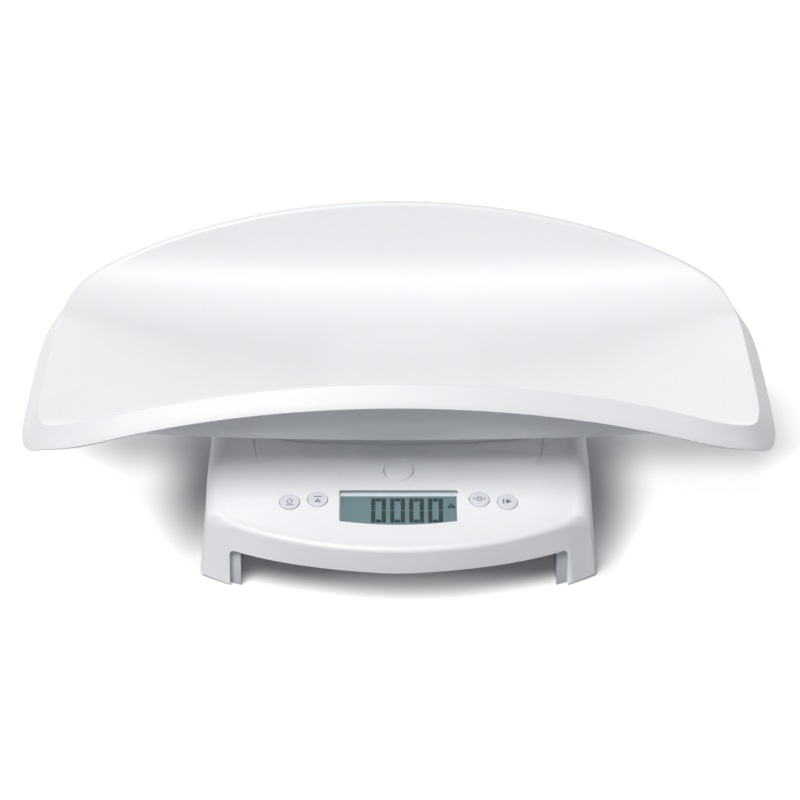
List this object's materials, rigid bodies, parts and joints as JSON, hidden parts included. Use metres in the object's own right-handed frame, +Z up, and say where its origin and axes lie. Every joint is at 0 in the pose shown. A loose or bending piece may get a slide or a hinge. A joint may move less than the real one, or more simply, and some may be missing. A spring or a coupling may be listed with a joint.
{
  "type": "digital baby weighing scale",
  "caption": "Tabletop electronic baby scale: a lift-off trough tray with high back and front walls on a four-legged base with a sloped display panel, round keys and a release button",
  "frame": {"origin": "middle of the footprint on the table", "axes": "+X to the operator's right, the operator and display at -Y, +Z up"},
  "size_m": [0.5568, 0.3236, 0.1784],
  "materials": {
    "white_plastic": "satin",
    "tray_plastic": "satin",
    "lower_plastic": "matte",
    "key_plastic": "matte",
    "window": "gloss",
    "lcd_glass": "gloss",
    "inner_plastic": "matte",
    "circuit_board": "satin",
    "switch_body": "matte",
    "spring_steel": "satin",
    "cell_steel": "satin",
    "screw_steel": "satin",
    "battery": "gloss",
    "rubber": "matte",
    "lead": "satin"
  },
  "bodies": {
    "base": {"upper_housing": "white_plastic", "lower_housing": "lower_plastic", "foot_cup_front_left": "lower_plastic", "foot_cup_front_right": "lower_plastic", "foot_cup_rear_left": "lower_plastic", "foot_cup_rear_right": "lower_plastic", "display_window": "window", "lcd_glass": "lcd_glass", "lcd_frame": "inner_plastic", "latch_guide": "inner_plastic", "battery_holder": "inner_plastic", "main_board": "circuit_board", "switch_outer_left": "switch_body", "switch_inner_left": "switch_body", "switch_inner_right": "switch_body", "switch_outer_right": "switch_body", "latch_spring": "spring_steel", "battery_contact_front": "spring_steel", "battery_contact_rear": "spring_steel", "load_cell_front_left": "cell_steel", "load_cell_front_right": "cell_steel", "load_cell_rear_left": "cell_steel", "load_cell_rear_right": "cell_steel", "board_screw_left": "screw_steel", "board_screw_right": "screw_steel", "housing_screw_1": "screw_steel", "housing_screw_2": "screw_steel", "housing_screw_3": "screw_steel", "housing_screw_4": "screw_steel", "battery_1": "battery", "battery_2": "battery", "battery_3": "battery", "battery_4": "battery", "foot_pad_front_left": "rubber", "foot_pad_front_right": "rubber", "foot_pad_rear_left": "rubber", "foot_pad_rear_right": "rubber", "cell_lead_front_left": "lead", "cell_lead_front_right": "lead", "cell_lead_rear_left": "lead", "cell_lead_rear_right": "lead", "battery_lead": "lead"},
    "tray": {"tray_shell": "tray_plastic", "tray_pedestal": "tray_plastic", "tray_screw_1": "screw_steel", "tray_screw_2": "screw_steel", "tray_screw_3": "screw_steel", "tray_screw_4": "screw_steel"},
    "key_outer_left_cap": {"key_outer_left": "key_plastic"},
    "key_inner_left_cap": {"key_inner_left": "key_plastic"},
    "key_inner_right_cap": {"key_inner_right": "key_plastic"},
    "key_outer_right_cap": {"key_outer_right": "key_plastic"},
    "release": {"release_button": "white_plastic"},
    "latch": {"latch_slider": "inner_plastic"},
    "door": {"battery_door": "lower_plastic"}
  },
  "joints": [
    {"name": "tray_lift", "type": "slide", "parent": "base", "child": "tray", "axis": [0, 0, 1], "range_m": [0, 0.06]},
    {"name": "key_outer_left_press", "type": "slide", "parent": "base", "child": "key_outer_left_cap", "axis": [0.0337, 0.3279, -0.9441], "range_m": [0, 0.0008], "stiffness_N_per_m": 600, "springref_m": -0.0006},
    {"name": "key_inner_left_press", "type": "slide", "parent": "base", "child": "key_inner_left_cap", "axis": [0.0164, 0.2935, -0.9558], "range_m": [0, 0.0008], "stiffness_N_per_m": 600, "springref_m": -0.0006},
    {"name": "key_inner_right_press", "type": "slide", "parent": "base", "child": "key_inner_right_cap", "axis": [-0.0164, 0.2935, -0.9558], "range_m": [0, 0.0008], "stiffness_N_per_m": 600, "springref_m": -0.0006},
    {"name": "key_outer_right_press", "type": "slide", "parent": "base", "child": "key_outer_right_cap", "axis": [-0.0337, 0.3279, -0.9441], "range_m": [0, 0.0008], "stiffness_N_per_m": 600, "springref_m": -0.0006},
    {"name": "release_press", "type": "slide", "parent": "base", "child": "release", "axis": [0, 0.2602, -0.9656], "range_m": [0, 0.0015], "stiffness_N_per_m": 500, "springref_m": -0.001},
    {"name": "latch_slide", "type": "slide", "parent": "base", "child": "latch", "axis": [0, -1, 0], "range_m": [0, 0.0022], "deforming": ["latch_spring"]},
    {"name": "battery_door_open", "type": "hinge", "parent": "base", "child": "door", "pos_m": [0, 0.01409, 0.0262], "axis": [-1, 0, 0], "range_deg": [0, 75]}
  ],
  "couplings": [
    {"joint": "latch_slide", "follows": "release_press", "ratio": 1.4176}
  ]
}
